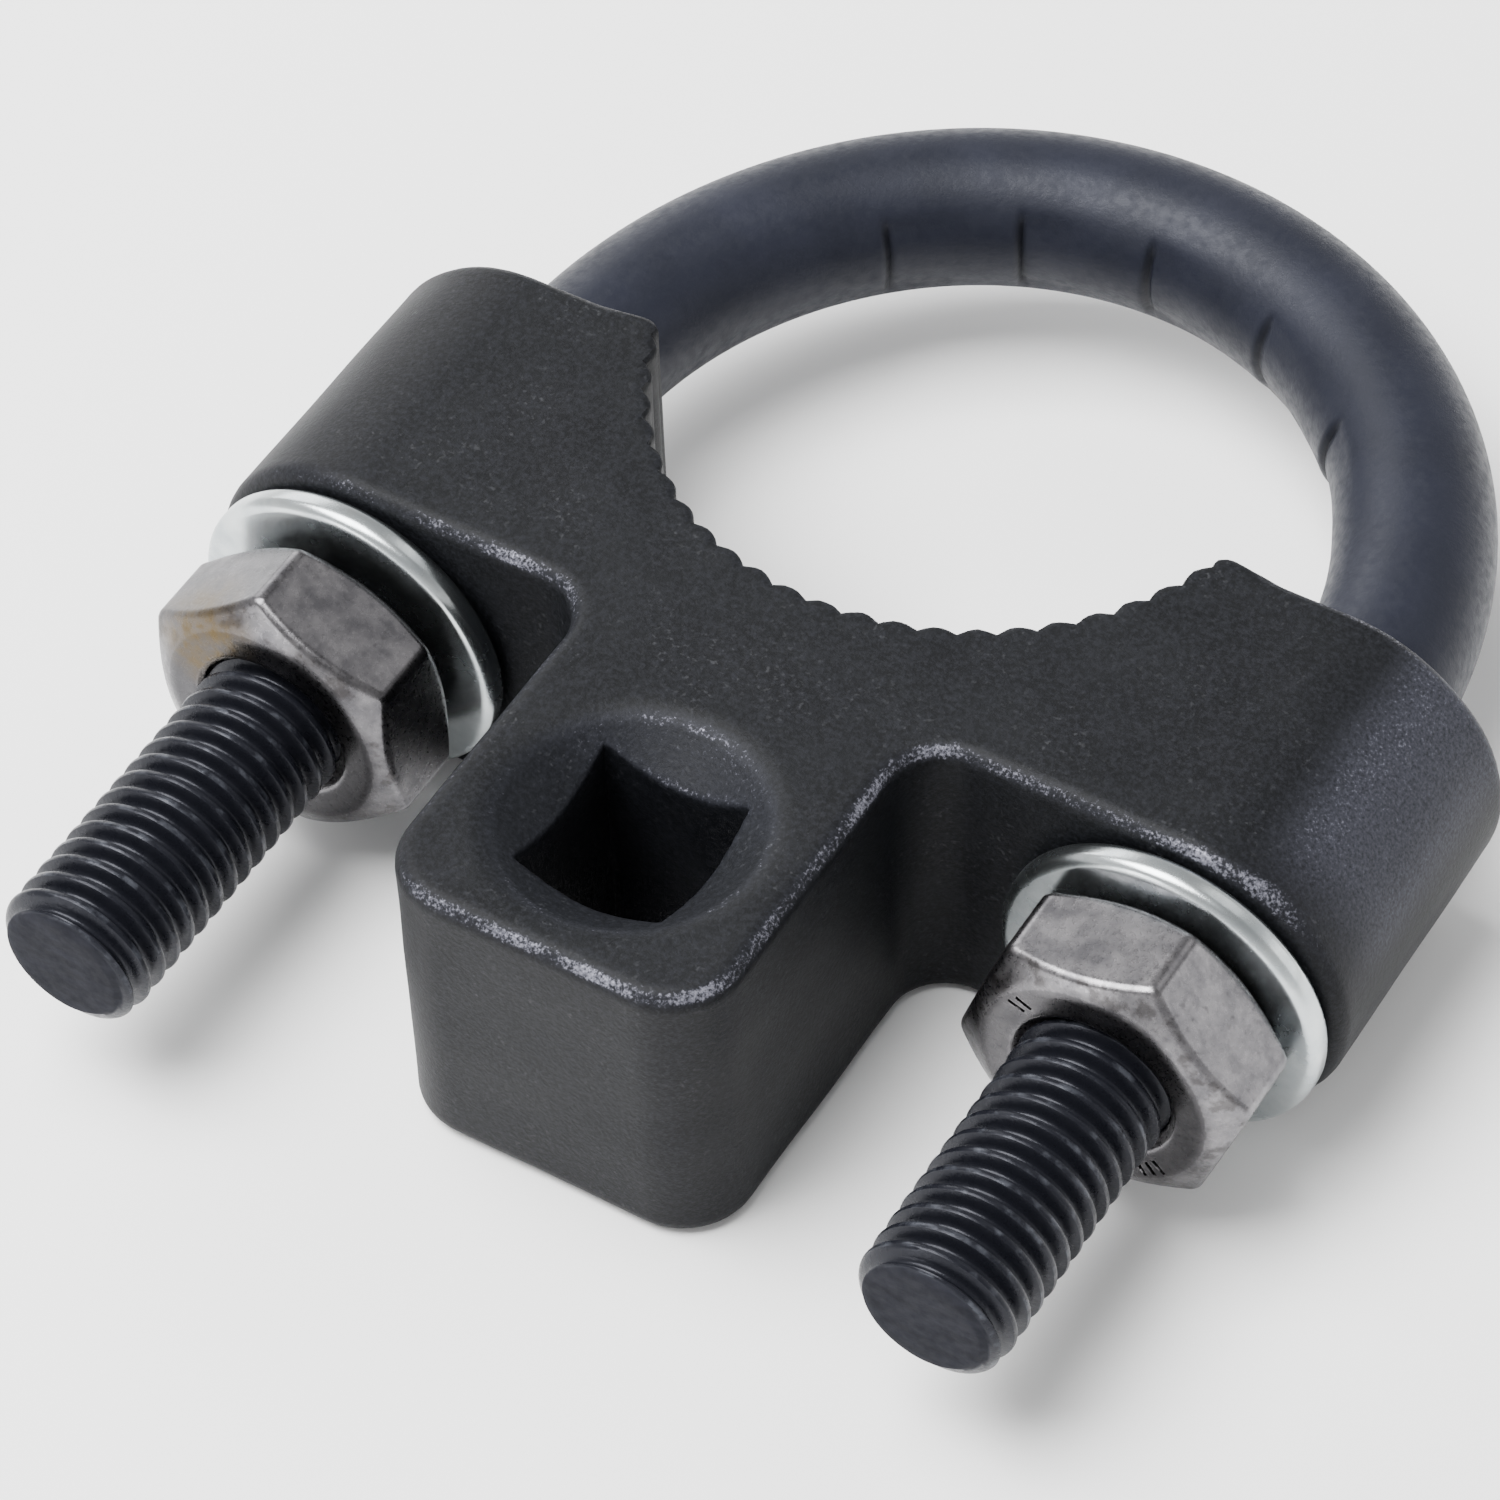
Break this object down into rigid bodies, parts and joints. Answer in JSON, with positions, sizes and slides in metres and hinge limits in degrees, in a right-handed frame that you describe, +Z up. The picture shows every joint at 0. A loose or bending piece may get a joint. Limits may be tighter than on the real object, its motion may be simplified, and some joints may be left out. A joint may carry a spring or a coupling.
{
  "type": "inner tie rod clamp tool",
  "caption": "Low-profile inner tie rod clamp tool: a scalloped jaw block with a square drive socket, drawn up to a U-bolt by a hex nut and flat washer on each threaded leg.",
  "frame": {"origin": "centre of the tool's footprint, on the plane of the block's flat underside", "axes": "+X from the left leg to the right leg, +Y from the leg tips towards the bend of the U-bolt, +Z up through the thickness of the block"},
  "size_m": [0.102, 0.1178, 0.0286],
  "materials": {
    "black_oxide_forging": "fine-grained black oxide, worn bright at the edges",
    "black_oxide_bar": "satin blue-black oxide",
    "bright_zinc_plate": "bright zinc plate",
    "plain_steel": "plain mottled steel"
  },
  "bodies": {
    "clamp_block": {"clamp_block": "black_oxide_forging"},
    "u_bolt": {"u_bolt": "black_oxide_bar"},
    "washer_left": {"washer_left": "bright_zinc_plate"},
    "washer_right": {"washer_right": "bright_zinc_plate"},
    "nut_left": {"nut_left": "plain_steel"},
    "nut_right": {"nut_right": "plain_steel"}
  },
  "joints": [
    {"name": "u_bolt_draw", "type": "slide", "parent": "clamp_block", "child": "u_bolt", "axis": [0, -1, 0], "range_m": [-0.02149, 0.00732]},
    {"name": "nut_right_turn", "type": "hinge", "parent": "clamp_block", "child": "nut_right", "pos_m": [0.0367, -0.02498, 0.0143], "axis": [0, 1, 0], "range_deg": [-3960, 1350]},
    {"name": "nut_left_turn", "type": "hinge", "parent": "clamp_block", "child": "nut_left", "pos_m": [-0.0367, -0.02587, 0.0143], "axis": [0, 1, 0], "range_deg": [-3960, 1350]},
    {"name": "washer_left_spin", "type": "hinge", "parent": "clamp_block", "child": "washer_left", "pos_m": [-0.0367, -0.01862, 0.0143], "axis": [0, 1, 0], "continuous": true},
    {"name": "washer_right_spin", "type": "hinge", "parent": "clamp_block", "child": "washer_right", "pos_m": [0.0367, -0.01862, 0.0143], "axis": [0, 1, 0], "continuous": true}
  ],
  "couplings": [
    {"joint": "nut_right_turn", "follows": "u_bolt_draw", "rad_per_m": 3215.8},
    {"joint": "nut_left_turn", "follows": "u_bolt_draw", "rad_per_m": 3215.8}
  ]
}
